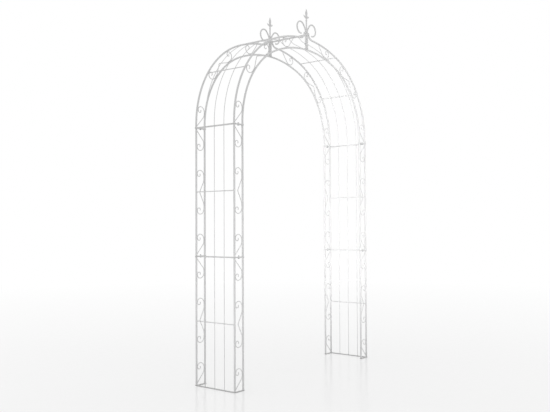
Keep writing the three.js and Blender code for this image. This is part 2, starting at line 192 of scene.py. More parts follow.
class RoseArchScrolls(bpy.types.PropertyGroup):
    """The scroll work between the tubes."""
    reach: length("Reach", "Foot of a scroll to its curl's far edge", 0.14)
    root: length("Root", "Section's end to the foot of its scroll", 0.015)
    touch: length("Touch", "Where a hooked scroll meets the inner tube", 0.08)
    double_touch: length("Double touch", "Where its arms meet the inner tube", 0.072)
    vertex: share("Double vertex", "Place of its vertex across the band", 0.36)
    bend: length("Bend", "Radius of the bends at the inner tube", 0.034)
    vertex_bend: length("Double vertex bend", "Radius of the bend at its vertex", 0.014)
    ratio: share("Curl ratio", "Share of its reach that a half turn keeps", 0.45)
    turns: share("Curl turns", "Turns of a curl", 1.12)
    double_place: share("Double scroll place", "Place of the arch's one along its tube", 0.468)
    setback: length("Upper setback", "Apex to the upper scroll's start", 0.146)
    slack: length("Arch slack", "Extra gap of the arch's scrolls", 0.0008)


class RoseArchApex(bpy.types.PropertyGroup):
    """Looped posts and spear finials, with rises above the crown of the outer tube."""
    post: length("Post radius", "Radius of the looped posts", 0.005)
    loop_reach: length("Loop reach", "Middle to a loop's centre", 0.065)
    loop_rise: length("Loop rise", "Crown to a loop's centre", 0.067)
    loop: length("Loop radius", "Radius of a loop", 0.0395)
    loop_bend: length("Loop bend", "Radius of the bend below a loop", 0.03)
    loop_lean: angle("Loop lean", "Lean of the post below its loop", 38)
    loop_turn: angle("Loop turn", "How far a loop turns over", 241)
    bar_rise: length("Apex bar rise", "Crown to the cross bars between the faces", 0.027)
    stem: length("Stem radius", "Radius of the spear's rod", 0.0046)
    tang: length("Tang width", "Width of the foot between the posts", 0.012)
    tang_rise: length("Tang rise", "Crown to the tang's top", 0.046)
    collar_rise: length("Collar rise", "Crown to the collar", 0.121)
    collar: length("Collar radius", "Radius of the collar", 0.0064)
    collar_height: length("Collar height", "Height of the collar", 0.008)
    barb_rise: length("Barb rise", "Crown to the barbs", 0.151)
    barb: length("Barb reach", "Middle to a barb's point", 0.03)
    barb_lift: length("Barb lift", "How far a barb's point turns up", 0.007)
    barb_depth: length("Barb depth", "Depth of the barbs at the stem", 0.013)
    blade: length("Blade half width", "Half the width of the blade", 0.011)
    shoulder: length("Shoulder rise", "Crown to the blade's shoulders", 0.176)
    heel: length("Heel half width", "Its half width above the barbs", 0.0075)
    heel_rise: length("Heel rise", "Crown to the blade's heel", 0.158)
    tip: length("Tip rise", "Crown to the spear's tip", 0.203)
    blade_thick: length("Blade thickness", "Thickness of the spear's head", 0.006)
    blade_ease: length("Blade edge", "Bevel of the spear's head", 0.0014)


class RoseArchFasteners(bpy.types.PropertyGroup):
    """Bolts and nuts of the section joints and of the apex."""
    bolt: length("Bolt radius", "Radius of the joint bolts", 0.003)
    hole: length("Hole radius", "Radius of the bolt holes", 0.0034)
    head: length("Head radius", "Radius over its corners", 0.0058)
    head_height: length("Head height", "Height of a joint bolt's head", 0.004)
    nut_height: length("Nut height", "Height of a weld nut", 0.005)
    tail: length("Tail", "Thread that shows past a nut", 0.002)
    pitch: length("Thread pitch", "Pitch of the joint bolts' thread", 0.001)
    apex_bolt: length("Apex bolt radius", "Radius of the apex bolts", 0.002)
    apex_head: length("Apex head radius", "Radius over its corners", 0.004)
    apex_head_height: length("Apex head height", "Height of an apex bolt's head", 0.003)
    apex_nut_height: length("Apex nut height", "Height of an apex nut", 0.0032)
    apex_drop: length("Apex bolt drop", "Crown down to the apex bolts", 0.038)
    apex_pitch: length("Apex thread pitch", "Pitch of the apex bolts' thread", 0.0007)


class RoseArchFineness(bpy.types.PropertyGroup):
    """How finely the round shapes are drawn."""
    tube_sides: count("Tube sides", "Facets round a tube", 16)
    rod_sides: count("Rod sides", "Facets round a scroll rod", 10)
    wire_sides: count("Wire sides", "Facets round a wire", 8)
    arc_step: angle("Arc step", "Turn of each length of an arch tube", 1.5)
    bend_step: angle("Bend step", "Turn of each length of a bend or curl", 9)


class RoseArchFinish(bpy.types.PropertyGroup):
    """Colours of the coat, the plating and the studio."""
    coat: paint("Powder coat", "White polyester powder coat", "DFDFDF")
    # A darker tone of the coat, used on the lowest 150 mm and where the film drifts
    coat_darker: paint("Darker coat", "The coat where it is a little darker", "D2D2D2")
    # Painted shade: this dark colour stands in for the contact shadow where the feet meet the ground
    coat_contact_shade: paint("Painted contact shade", "The coat painted dark as shade where the feet meet the ground", "7C7B79")
    zinc: paint("Zinc plate", "Dull zinc plate on the fasteners", "B9BCBD")
    zinc_dull: paint("Dulled zinc", "The plate where it has dulled", "9EA1A2")
    floor: paint("Floor", "Pale studio floor", "F8F8F8")
    coat_rough: share("Coat roughness", "Roughness of the satin coat", 0.38)
    zinc_rough: share("Zinc roughness", "Roughness of the plating", 0.34)


class RoseArchStudio(bpy.types.PropertyGroup):
    """Camera and light."""
    camera_place: bpy.props.FloatVectorProperty(name="Camera place", description="Where the camera stands",
                                                default=(-3.98439, -3.08054, 0.99297),
                                                subtype="TRANSLATION", unit="LENGTH")
    camera_heading: angle("Camera heading", "Turn from +Y towards +X", math.degrees(0.89395))
    camera_pitch: angle("Camera pitch", "Tilt above the horizon", math.degrees(0.0258))
    camera_roll: angle("Camera roll", "Roll about the line of sight", math.degrees(-0.00425))
    lens: plain("Lens", "Focal length in millimetres", 47.945)
    horizon: share("Wall light", "Strength of the light from the sides", 0.62)
    zenith: share("Ceiling light", "Strength of the light from above", 0.96)
    strip: plain("Strip light", "Power of the tall lamp on the right leg", 2.1)
    front: plain("Front light", "Power of the wide lamp on both legs", 1.0)


class RoseArchSettings(bpy.types.PropertyGroup):
    """Everything that a user would change."""
    frame: group(RoseArchFrame, "Frame", "Overall sizes")
    stock: group(RoseArchStock, "Stock", "Tube, bar and wire")
    scroll: group(RoseArchScrolls, "Scrolls", "Scroll work")
    apex: group(RoseArchApex, "Apex", "Loops and spears")
    fasteners: group(RoseArchFasteners, "Fasteners", "Bolts and nuts")
    fineness: group(RoseArchFineness, "Fineness", "Facets")
    finish: group(RoseArchFinish, "Finish", "Colours and gloss")
    studio: group(RoseArchStudio, "Studio", "Camera and light")


class Layout:
    """Places that follow from the sizes. Rise runs along the outer tube and inset towards the passage,
    for the right-hand half in the plane y = 0."""

    def __init__(self, settings):
        self.s = settings
        f, stock, apex, scroll = settings.frame, settings.stock, settings.apex, settings.scroll
        self.leg = 2 * f.section
        self.section_top = f.section - stock.seat
        # Insets of scrolls beside the outer or the inner tube, or welded to it, and of their welds
        self.near = stock.tube + stock.seat + stock.rod
        self.far = f.band - self.near
        self.welded_lane = f.band - stock.tube - stock.rod + stock.bite
        self.outer_weld = stock.tube + stock.seat
        self.inner_weld = f.band - stock.tube
        # Rises of the welds that hold a scroll to the inner tube
        self.hook_weld = scroll.touch + scroll.bend * HOOK_WELD_SHARE
        self.double_weld = scroll.double_touch + scroll.bend * DOUBLE_WELD_SHARE
        # The arch: a haunch, a crown, and a flare that turns up beside the post
        offset = f.half_span - f.haunch
        drop = math.sqrt((f.crown - f.haunch) ** 2 - offset ** 2)
        crown_lean = math.asin(offset / (f.crown - f.haunch))
        self.crown_centre = f.spring - drop
        self.crown_top = self.crown_centre + f.crown
        self.haunch_run = (math.pi / 2 - crown_lean) * f.haunch
        self.arch_run = f.spring + self.haunch_run + crown_lean * f.crown
        self.post_offset = apex.stem + stock.seat + apex.post
        self.flare_centre = self.post_offset + apex.post + stock.seat + stock.tube + f.flare
        self.flare_angle = math.asin(self.flare_centre / (f.crown + f.flare))
        self.flare_end_z = self.crown_centre + (f.crown + f.flare) * math.cos(self.flare_angle)
        self.flare_start = self.arch_run - self.flare_angle * f.crown
        self.post_foot = self.crown_top - f.band + stock.tube + stock.seat
        self.wire_inset = stock.wire - stock.tube
        self.bar_inset = self.wire_inset + stock.wire + stock.crossbar - stock.bite
        # Scrolls keep their size on the arch, where the way round inside the outer tube is shorter
        self.haunch_stretch = f.haunch / (f.haunch - f.band / 2)
        self.crown_stretch = f.crown / (f.crown - f.band / 2)

    def on_leg(self, rise, inset):
        """A place on the leg, or on a straight line above it."""
        return Vector((self.s.frame.half_span - inset, 0, rise))

    def on_arch(self, rise, inset):
        """A place on the arch, with its rise counted from the top of the leg."""
        f = self.s.frame
        if rise <= f.spring:
            return self.on_leg(self.leg + rise, inset)
        if rise <= f.spring + self.haunch_run:
            turned = (rise - f.spring) / f.haunch
            radius = f.haunch - inset
            return Vector((f.half_span - f.haunch + radius * math.cos(turned), 0,
                           self.leg + f.spring + radius * math.sin(turned)))
        lean = (self.arch_run - rise) / f.crown
        radius = f.crown - inset
        return Vector((radius * math.sin(lean), 0, self.leg + self.crown_centre + radius * math.cos(lean)))

    def arch_line(self, start, end, inset):
        """Points that follow the arch at one inset, from one rise to another."""
        f = self.s.frame
        marks = [start]
        haunch_top = f.spring + self.haunch_run
        for low, high, radius in ((f.spring, haunch_top, f.haunch), (haunch_top, self.arch_run, f.crown)):
            low, high = max(low, start), min(high, end)
            if low > marks[-1]:
                marks.append(low)
            steps = max(1, math.ceil((high - low) / (radius * self.s.fineness.arc_step)))
            marks += [low + (high - low) * step / steps for step in range(1, steps + 1)]
        return [self.on_arch(mark, inset) for mark in marks]

    def rounded(self, corners, radii):
        """Straight runs through corners, each inner corner rounded by a fine arc."""
        line = [corners[0]]
        for index, radius in enumerate(radii):
            corner = corners[index + 1]
            back = (corners[index] - corner).normalized()
            on = (corners[index + 2] - corner).normalized()
            half = back.angle(on) / 2
            centre = corner + (back + on).normalized() * (radius / math.sin(half))
            first = corner + back * (radius / math.tan(half)) - centre
            last = corner + on * (radius / math.tan(half)) - centre
            steps = max(2, math.ceil((math.pi - 2 * half) / self.s.fineness.bend_step))
            line += [centre + first.slerp(last, step / steps).normalized() * radius
                     for step in range(steps + 1)]
        return line + [corners[-1]]

    def arc(self, centre, radius, start, turn):
        """Points on an arc in the plane y = 0, from a start angle through a turn."""
        steps = math.ceil(abs(turn) / self.s.fineness.bend_step)
        marks = [start + turn * step / steps for step in range(steps + 1)]
        return [centre + Vector((math.cos(mark), 0, math.sin(mark))) * radius for mark in marks]

    def curl(self, near, far):
        """A curl that leaves the far lane and winds in by a fixed share each half turn."""
        scroll = self.s.scroll
        decay = -math.log(scroll.ratio) / math.pi
        lead = math.atan(decay)
        centre = near + (far - near) * scroll.ratio / (1 + scroll.ratio)
        start = (far - centre) / (math.exp(decay * lead) * math.cos(lead))
        top = math.pi / 2 - lead
        base = scroll.reach - self.s.stock.rod - start * math.exp(-decay * top) * math.sin(top)
        whole = scroll.turns * 2 * math.pi + lead
        steps = math.ceil(whole / self.s.fineness.bend_step)
        points = []
        for step in range(steps + 1):
            turned = -lead + whole * step / steps
            radius = start * math.exp(-decay * turned)
            points.append(Vector((base + radius * math.sin(turned), centre + radius * math.cos(turned))))
        return points

    def curl_nearest(self, near, far):
        """The rise at which a curl comes nearest to the outer tube."""
        return min(self.curl(near, far), key=lambda point: point.y).x

    def hook(self, root, near, far):
        """A J-scroll in rise and inset, from its root at the outer tube into its curl."""
        scroll = self.s.scroll
        winding = self.curl(near, far)
        corners = [Vector((scroll.root, root)), Vector((scroll.touch, far)), winding[0]]
        return self.rounded(corners, [scroll.bend]) + winding[1:]

    def double(self, near, far):
        """A double scroll in rise and inset, about its blunt vertex."""
        scroll = self.s.scroll
        winding = self.curl(near, far)
        mirrored = [Vector((-point.x, point.y)) for point in reversed(winding)]
        corners = [mirrored[-1], Vector((-scroll.double_touch, far)),
                   Vector((0, near + (far - near) * scroll.vertex)), Vector((scroll.double_touch, far)),
                   winding[0]]
        radii = [scroll.bend, scroll.vertex_bend, scroll.bend]
        return mirrored[:-1] + self.rounded(corners, radii) + winding[1:]


def standing(place, way):
    """The matrix that stands a shape drawn along +Z on a place, so that it points along a way."""
    turn = Z.rotation_difference(Vector(way).normalized()).to_matrix().to_4x4()
    return Matrix.Translation(place) @ turn


def only(parts, kind):
    """The parts of one kind in a mixed list."""
    return [part for part in parts if isinstance(part, kind)]


def edges_at(verts):
    """The edges that meet any of these vertices."""
    return list(dict.fromkeys(edge for vert in verts for edge in vert.link_edges))


def bevelled(bm, edges, offset, segments=2):
    """Rounds edges off."""
    bmesh.ops.bevel(bm, geom=edges, offset=offset, segments=segments, profile=0.5, affect="EDGES",
                    material=-1)


def bar_along(bm, line, radius, sides, ease=0.0):
    """A round bar along a line of points, closed at both ends. Ease rounds its ends."""
    last = len(line) - 1
    ways = [(line[min(spot + 1, last)] - line[max(spot - 1, 0)]).normalized() for spot in range(last + 1)]
    disc = bmesh.ops.create_circle(bm, cap_ends=True, segments=sides, radius=radius,
                                   matrix=standing(line[0], ways[0]))
    foot = head = disc["verts"][0].link_faces[0]
    for spot in range(1, last + 1):
        grown = bmesh.ops.extrude_face_region(bm, geom=[head])["geom"]
        if spot > 1:
            bmesh.ops.delete(bm, geom=[head], context="FACES_ONLY")
        head = only(grown, bmesh.types.BMFace)[0]
        turn = ways[spot - 1].rotation_difference(ways[spot]).to_matrix()
        bmesh.ops.rotate(bm, verts=head.verts, cent=line[spot - 1], matrix=turn)
        bmesh.ops.translate(bm, verts=head.verts, vec=line[spot] - line[spot - 1])
    if ease:
        bevelled(bm, list(foot.edges) + list(head.edges), radius * ease)


def flat_bar(bm, size, centre, ease):
    """A flat bar with rounded edges."""
    block = bmesh.ops.create_cube(bm, size=1.0)["verts"]
    bmesh.ops.scale(bm, vec=size, verts=block)
    bmesh.ops.translate(bm, vec=centre, verts=block)
    bevelled(bm, edges_at(block), ease)


def closed(bm, points):
    """Edges that run through points and back to the first."""
    verts = [bm.verts.new(point) for point in points]
    return [bm.edges.new((verts[spot - 1], verts[spot])) for spot in range(len(verts))]


def slab(bm, edges, thick, sharp):
    """A plate that fills closed edges and is as thick as a vector. Returns its sharp edges."""
    sheet = only(bmesh.ops.triangle_fill(bm, use_beauty=True, edges=edges)["geom"], bmesh.types.BMFace)
    lifted = only(bmesh.ops.extrude_face_region(bm, geom=sheet)["geom"], bmesh.types.BMVert)
    bmesh.ops.translate(bm, vec=thick, verts=lifted)
    faces = list(dict.fromkeys(sheet + [face for vert in lifted for face in vert.link_faces]))
    bmesh.ops.recalc_face_normals(bm, faces=faces)
    return [edge for edge in dict.fromkeys(edge for face in faces for edge in face.edges)
            if edge.is_manifold and edge.calc_face_angle() > sharp]


def lathe(bm, profile, place, way, sides):
    """A solid of revolution that stands on a place, from a profile of (reach, rise) pairs."""
    old = set(bm.verts)
    lift = standing(place, way)
    points = [bm.verts.new(lift @ Vector((reach, 0, rise))) for reach, rise in profile]
    edges = [bm.edges.new(pair) for pair in zip(points, points[1:])]
    bmesh.ops.spin(bm, geom=points + edges, cent=place, axis=lift.to_3x3() @ Z, angle=2 * math.pi,
                   steps=sides, use_merge=True)
    bmesh.ops.remove_doubles(bm, verts=[vert for vert in bm.verts if vert not in old], dist=MERGE)


def welded(verts):
    """Gives a lump of weld the second material, the coat over weld beads."""
    for face in {face for vert in verts for face in vert.link_faces}:
        face.material_index = 1


def bead(bm, place, along, size):
    """A weld bead, drawn as a lump. Its size is half its length along the seam and half its girth."""
    half, girth = size
    sides, rings = BEAD_SIDES
    shape = standing(place, along) @ Matrix.Diagonal((girth, girth, half, 1))
    welded(bmesh.ops.create_uvsphere(bm, u_segments=sides, v_segments=rings, radius=1.0,
                                     matrix=shape)["verts"])


def cone(bm, sides, foot, top, rise, place, way):
    """A blunt cone or a prism that stands on a place, from the radius of its foot to that of its top."""
    shift = Matrix.Translation((0, 0, rise / 2))
    return bmesh.ops.create_cone(bm, cap_ends=True, segments=sides, radius1=foot, radius2=top,
                                 depth=rise, matrix=standing(place, way) @ shift)["verts"]


def fillet(bm, layout, place, way):
    """A fillet weld round a tube's end, on a bar that lies at a place or, with a way of -1, under it."""
    stock = layout.s.stock
    spread = stock.rod * FILLET_SHARE
    welded(cone(bm, FILLET_SIDES, stock.tube + spread, stock.tube + spread * FILLET_TOP_SHARE, spread,
                place + Z * stock.bar * max(way, 0), Z * way))


def hexagon(bm, radius, height, place, way):
    """A hexagon head or nut that stands on a place, with its corners turned off."""
    bevelled(bm, edges_at(cone(bm, 6, radius, radius, height, place, way)), radius * HEXAGON_EASE_SHARE)


def thread(bm, layout, radius, pitch, place, way):
    """The end of a threaded shank, as a grooved profile spun about its axis."""
    tail = layout.s.fasteners.tail
    turns = max(1, round(tail / pitch))
    rise = tail / turns
    root = radius - pitch * THREAD_DEPTH_SHARE
    profile = [(0.0, 0.0), (root, 0.0)]
    for index in range(turns):
        profile += [(radius, rise * (index + 0.5)), (root, rise * (index + 1))]
    lathe(bm, profile + [(0.0, tail)], place, way, layout.s.fineness.tube_sides)


def scroll_rod(bm, layout, line, place, rise, stretch):
    """Lays a scroll's line on a leg or on the arch, up or down from a rise, and bends a rod along it."""
    points = [place(rise + stretch * point.x, point.y) for point in line]
    bar_along(bm, points, layout.s.stock.rod, layout.s.fineness.rod_sides, EASE_SHARES["scroll"])


def scroll_welds(bm, layout, place, rise, stretch, spots):
    """Beads where a scroll touches the tubes, at (rise, inset) pairs."""
    stock = layout.s.stock
    for along, inset in spots:
        at = place(rise + stretch * along, inset)
        ahead = place(rise + stretch * (along + stock.bead), inset)
        bead(bm, at, ahead - at, (stock.bead, stock.rod * SCROLL_WELD_SHARE))


def bracket(bm, layout, z, way=1):
    """The flat bar at the ends of a pair of tubes, with its bolt hole, welded to the inner tube."""
    s, stock = layout.s, layout.s.stock
    half = stock.bar_width / 2
    start = s.frame.half_span - s.frame.band - half
    end = s.frame.half_span - half - stock.seat
    rim = bmesh.ops.create_circle(bm, segments=HOLE_SIDES, radius=s.fasteners.hole,
                                  matrix=Matrix.Translation(layout.on_leg(z, s.frame.band / 2)))["verts"]
    edges = closed(bm, [(start, -half, z), (end, -half, z), (end, half, z), (start, half, z)])
    bevelled(bm, slab(bm, edges_at(rim) + edges, Z * stock.bar, BRACKET_SHARP), stock.bar_ease)
    fillet(bm, layout, layout.on_leg(z, s.frame.band), way)


def weld_nut(bm, layout):
    """The nut that is welded over the bolt hole of a lower bracket."""
    s, stock, fit = layout.s, layout.s.stock, layout.s.fasteners
    middle = layout.on_leg(stock.bar - stock.bite, s.frame.band / 2)
    hexagon(bm, fit.head, fit.nut_height + stock.bite, middle, Z)
    for spot in range(NUT_WELDS):
        out = Matrix.Rotation(2 * math.pi * spot / NUT_WELDS, 3, "Z") @ X * fit.head * NUT_WELD_REACH_SHARE
        bead(bm, middle + out + Z * stock.bite, out.cross(Z), NUT_WELD)


def crossbar(bm, layout, place, end_radius):
    """A round bar from the front face to the back one, welded at both ends."""
    s, stock = layout.s, layout.s.stock
    reach = Y * (s.frame.half_depth - end_radius - stock.seat)
    ends = [place - reach, place + reach]
    bar_along(bm, ends, stock.crossbar, s.fineness.rod_sides, EASE_SHARES["crossbar"])
    for end in ends:
        bead(bm, end, Z, CROSSBAR_WELD_SHARES * stock.crossbar)


def end_bar(bm, layout, z, way=1):
    """The flat bar of an end frame, welded to the outer tubes of both faces."""
    s, stock = layout.s, layout.s.stock
    size = (stock.bar_width, 2 * s.frame.half_depth + stock.bar_width, stock.bar)
    flat_bar(bm, size, layout.on_leg(z + stock.bar / 2, 0), stock.bar_ease)
    for _, face in FACES:
        fillet(bm, layout, layout.on_leg(z, 0) + Y * s.frame.half_depth * face, way)


def wires(bm, layout, line, crossings, ends):
    """The wires of a lattice along a line, each welded where it crosses a bar and at its ends."""
    s, stock = layout.s, layout.s.stock
    spaces = stock.wires + 1
    for spot in range(1, spaces):
        shift = Y * s.frame.half_depth * (2 * spot / spaces - 1)
        bar_along(bm, [point + shift for point in line], stock.wire, s.fineness.wire_sides)
        for place in crossings:
            bead(bm, place + shift, Y, WIRE_WELD_SHARES * stock.wire)
        for place in ends:
            bead(bm, place + shift, Y, WIRE_END_WELD_SHARES * stock.wire)


def linked(name, data):
    """A new object in the scene for a mesh, a light or a camera."""
    made = bpy.data.objects.new(name, data)
    bpy.context.scene.collection.objects.link(made)
    return made


def solid(name, bm, materials):
    """A new object with materials, made of a shape that is then freed."""
    mesh = bpy.data.meshes.new(name)
    bm.to_mesh(mesh)
    bm.free()
    for material in materials:
        mesh.materials.append(material)
    return linked(name, mesh)


def finished(shape, node, side, shift, slot, finish):
    """Makes a copy of a right-hand shape into the piece that stands for a node."""
    copy = shape.copy()
    bmesh.ops.translate(copy, vec=shift, verts=copy.verts)
    if side < 0:
        bmesh.ops.scale(copy, vec=(-1, 1, 1), verts=copy.verts)
    bmesh.ops.recalc_face_normals(copy, faces=copy.faces)
    ending, materials = SLOTS[slot]
    piece = solid(f"{node}_{ending}", copy, materials(finish))
    piece.data.shade_smooth()
    piece.data.set_sharp_from_angle(angle=SHARP)
    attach(piece, "root")
    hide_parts(node)


def place_all(layout, shape, pattern, lift=0.0, slot="white_coat"):
    """Places a right-hand shape for each node of a pattern. One with a side is mirrored for the left,
    one with a face stands on both faces, and one with a section is repeated up the leg."""
    f = layout.s.frame
    sides = SIDES if "{side}" in pattern else SIDES[:1]
    faces = FACES if "{face}" in pattern else (("", 0),)
    sections = SECTIONS if "{section}" in pattern else SECTIONS[:1]
    for side_name, side in sides:
        for level, section in enumerate(sections):
            for face_name, face in faces:
                node = pattern.format(side=side_name, section=section, face=face_name)
                shift = Vector((0, face * f.half_depth, level * f.section + lift))
                finished(shape, node, side, shift, slot, layout.s.finish)
    shape.free()


def add_node(tree, kind, values=None):
    """Adds a shader node. Each value sets a field or a socket of that name or number, or links to it."""
    made = tree.nodes.new(f"ShaderNode{kind}")
    for name, value in (values or {}).items():
        if isinstance(name, str) and hasattr(made, name) and name not in made.inputs:
            setattr(made, name, value)
        elif isinstance(value, bpy.types.NodeSocket):
            tree.links.new(value, made.inputs[name])
        else:
            made.inputs[name].default_value = value
    return made


def noise(tree, width, detail=2.0, roughness=0.5):
    """Noise with grains about as wide as a width in metres."""
    place = add_node(tree, "TexCoord").outputs["Object"]
    return add_node(tree, "TexNoise", {"Vector": place, "Scale": 1 / width, "Detail": detail,
                                       "Roughness": roughness}).outputs["Fac"]


def height(tree, space="Object"):
    """The Z of a point, or of a direction in a world's Generated space."""
    place = add_node(tree, "TexCoord").outputs[space]
    return add_node(tree, "SeparateXYZ", {"Vector": place}).outputs["Z"]


def remap(tree, value, low, high, start=0.0, end=1.0):
    """Carries a value from the range of start to end over to the range of low to high."""
    return add_node(tree, "MapRange", {"Value": value, "From Min": start, "From Max": end, "To Min": low,
                                       "To Max": high}).outputs["Result"]


def maths(tree, operation, first, second):
    """Two values joined by a sum, a product or the like."""
    return add_node(tree, "Math", {"operation": operation, 0: first, 1: second}).outputs[0]


def blend(tree, part, first, second):
    """The first colour, or the second where part is 1."""
    return add_node(tree, "Mix", {"data_type": "RGBA", 0: part, 6: first, 7: second}).outputs[2]


def relief(tree, rise, strength, depth, under=None):
    """A normal for relief that is too fine to model, over another normal if one is given."""
    values = {"Height": rise, "Strength": strength, "Distance": depth}
    if under is not None:
        values["Normal"] = under
    return add_node(tree, "Bump", values).outputs["Normal"]


def surface(tree, values):
    """A Principled shader that feeds the material's output."""
    shader = add_node(tree, "BsdfPrincipled", values)
    add_node(tree, "OutputMaterial", {"Surface": shader.outputs["BSDF"]})


def fresh_material(name):
    """An empty node material, or the one of that name if it is there already."""
    found = bpy.data.materials.get(name)
    if found:
        return found, None
    made = bpy.data.materials.new(name)
    made.use_nodes = True
    made.node_tree.nodes.clear()
    return made, made.node_tree


def powder_coat(finish, name="white_polyester_powder_coat", ripple=0.0):
    """White polyester powder coat, sprayed and baked: satin, faintly orange-peeled, a little darker near
    the ground, and with painted contact shade on its lowest 5 mm. Over a weld bead the ripples of the bead
    show through it."""
    made, tree = fresh_material(name)
    if tree is None:
        return made
    # Orange peel is about 2 mm across on the real coat
    peel = noise(tree, width=0.002, roughness=0.4)
    # Film thickness drifts over a hand's breadth, which shades the white a little
    film = noise(tree, width=0.09, detail=3.0)
    drift = remap(tree, film, 0.0, 0.35, start=0.35, end=0.7)
    # The coat is a little darker on the lowest 150 mm
    ground = remap(tree, height(tree), 0.0, 0.55, start=0.15, end=0.0)
    darker_share = maths(tree, "MAXIMUM", ground, drift)
    # Painted shade: the lowest 5 mm are painted dark as the contact shadow where the end frames stand on
    # the ground
    contact_shade = remap(tree, height(tree), 0.0, 0.5, start=0.0055, end=0.0025)
    colour = blend(tree, contact_shade, blend(tree, darker_share, finish.coat, finish.coat_darker), finish.coat_contact_shade)
    satin = remap(tree, film, finish.coat_rough - 0.06, finish.coat_rough + 0.1)
    normal = relief(tree, peel, strength=0.12, depth=0.0003)
    if ripple:
        # At scale 1 the bands of the wave lie a tenth of pi apart
        place = add_node(tree, "TexCoord").outputs["Object"]
        waves = add_node(tree, "TexWave", {"Vector": place, "Scale": math.pi / 10 / ripple,
                                           "Distortion": 3.0, "Detail": 1.0}).outputs["Fac"]
        normal = relief(tree, waves, strength=0.6, depth=0.0006, under=normal)
    surface(tree, {"Base Color": colour, "Roughness": satin, "Normal": normal})
    return made


def coats(finish):
    """The coat, and the coat over weld beads with their ripples 1 mm apart."""
    return [powder_coat(finish), powder_coat(finish, "white_powder_coat_over_weld", 0.001)]


def plating(finish):
    """Zinc plate on turned and forged steel: grey metal, dulled in small clouds."""
    made, tree = fresh_material("dull_zinc_plated_steel")
    if tree is not None:
        # Passivation clouds are a few millimetres wide, and the plating's grain is about 0.4 mm
        clouds = noise(tree, width=0.003, detail=4.0)
        grain = noise(tree, width=0.0004)
        surface(tree, {"Base Color": blend(tree, clouds, finish.zinc, finish.zinc_dull), "Metallic": 1.0,
                       "Roughness": remap(tree, clouds, finish.zinc_rough - 0.08, finish.zinc_rough + 0.14),
                       "Normal": relief(tree, grain, strength=0.15, depth=0.0001)})
    return [made]


def floor_paint(finish):
    """Glossy white studio floor, which goes over to plain white away from the arch."""
    made, tree = fresh_material("gloss_white_studio_floor")
    if tree is None:
        return made
    # Roller marks in the paint, about 40 mm wide
    sheen = remap(tree, noise(tree, width=0.04), 0.1, 0.2)
    gloss = add_node(tree, "BsdfPrincipled", {"Base Color": finish.floor, "Roughness": sheen})
    white = add_node(tree, "Emission", {"Color": WHITE, "Strength": 1.0})
    place = add_node(tree, "TexCoord").outputs["Object"]
    away = add_node(tree, "VectorMath", {"operation": "LENGTH", 0: place}).outputs["Value"]
    # Plain white takes over in the camera's view of the floor, up to 8 m from the middle
    fade = remap(tree, away, 0.22, 1.0, end=8.0)
    seen = maths(tree, "MULTIPLY", add_node(tree, "LightPath").outputs["Is Camera Ray"], fade)
    both = add_node(tree, "MixShader", {0: seen, 1: gloss.outputs["BSDF"], 2: white.outputs["Emission"]})
    add_node(tree, "OutputMaterial", {"Surface": both.outputs["Shader"]})
    return made


# For each slot of the record, the ending of its pieces' names and their materials
SLOTS = {"white_coat": ("round", coats), "zinc_plate": ("turned", plating)}


class ROSEARCH_OT_uprights(bpy.types.Operator):
    """Builds the leg uprights with their scrolls, brackets and weld nuts"""
    bl_idname = "rosearch.uprights"
    bl_label = "Leg Uprights"

    def outer(self, layout):
        s, stock, bm = layout.s, layout.s.stock, bmesh.new()
        ends = stock.bar + stock.seat, layout.section_top - stock.bar - stock.seat
        bar_along(bm, [layout.on_leg(end, 0) for end in ends], stock.tube, s.fineness.tube_sides,
                  EASE_SHARES["upright"])
        hook = layout.hook(stock.tube, layout.near, layout.far)
        spots = [(rise, layout.outer_weld)
                 for rise in (s.scroll.root, layout.curl_nearest(layout.near, layout.far))]
        for rise, direction in ((0, 1), (layout.section_top, -1)):
            scroll_rod(bm, layout, hook, layout.on_leg, rise, direction)
            scroll_welds(bm, layout, layout.on_leg, rise, direction, spots)
        return bm

    def inner(self, layout, nutted):
        s, stock, bm = layout.s, layout.s.stock, bmesh.new()
        band, middle = s.frame.band, s.frame.section / 2
        top = layout.section_top - stock.bar
        ends = stock.bar - stock.bite, top + stock.bite
        bar_along(bm, [layout.on_leg(end, band) for end in ends], stock.tube, s.fineness.tube_sides)
        bracket(bm, layout, 0.0)
        bracket(bm, layout, top, -1)
        scroll_rod(bm, layout, layout.double(layout.near, layout.welded_lane), layout.on_leg, middle, 1)
        doubled = [(layout.double_weld, layout.inner_weld),
                   (layout.curl_nearest(layout.near, layout.welded_lane), stock.tube)]
        hooked = [(layout.hook_weld, layout.inner_weld)]
        for rise, direction, spots in ((middle, 1, doubled), (middle, -1, doubled), (0, 1, hooked),
                                       (layout.section_top, -1, hooked)):
            scroll_welds(bm, layout, layout.on_leg, rise, direction, spots)
        if nutted:
            weld_nut(bm, layout)
        return bm

    def execute(self, context):
        layout = Layout(context.scene.rose_arch)
        place_all(layout, self.outer(layout), "{side}_{section}_{face}_outer_upright")
        place_all(layout, self.inner(layout, False), "{side}_lower_{face}_inner_upright")
        place_all(layout, self.inner(layout, True), "{side}_upper_{face}_inner_upright",
                  layout.s.frame.section)
        return {"FINISHED"}


class ROSEARCH_OT_leg_lattices(bpy.types.Operator):
    """Builds the end frames, cross bars and wires of the legs"""
    bl_idname = "rosearch.leg_lattices"
    bl_label = "Leg Lattices"

    def execute(self, context):
        layout = Layout(context.scene.rose_arch)
        s, stock, bm = layout.s, layout.s.stock, bmesh.new()
        top, middle = layout.section_top - stock.bar, s.frame.section / 2
        end_bar(bm, layout, 0.0)
        end_bar(bm, layout, top, -1)
        crossbar(bm, layout, layout.on_leg(middle, layout.bar_inset), stock.tube)
        welds = [layout.on_leg(rise, layout.wire_inset) for rise in (stock.bar, top)]
        line = [welds[0] - Z * stock.bite, welds[1] + Z * stock.bite]
        wires(bm, layout, line, [layout.on_leg(middle, layout.wire_inset + stock.wire)], welds)
        place_all(layout, bm, "{side}_{section}_lattice")
        return {"FINISHED"}


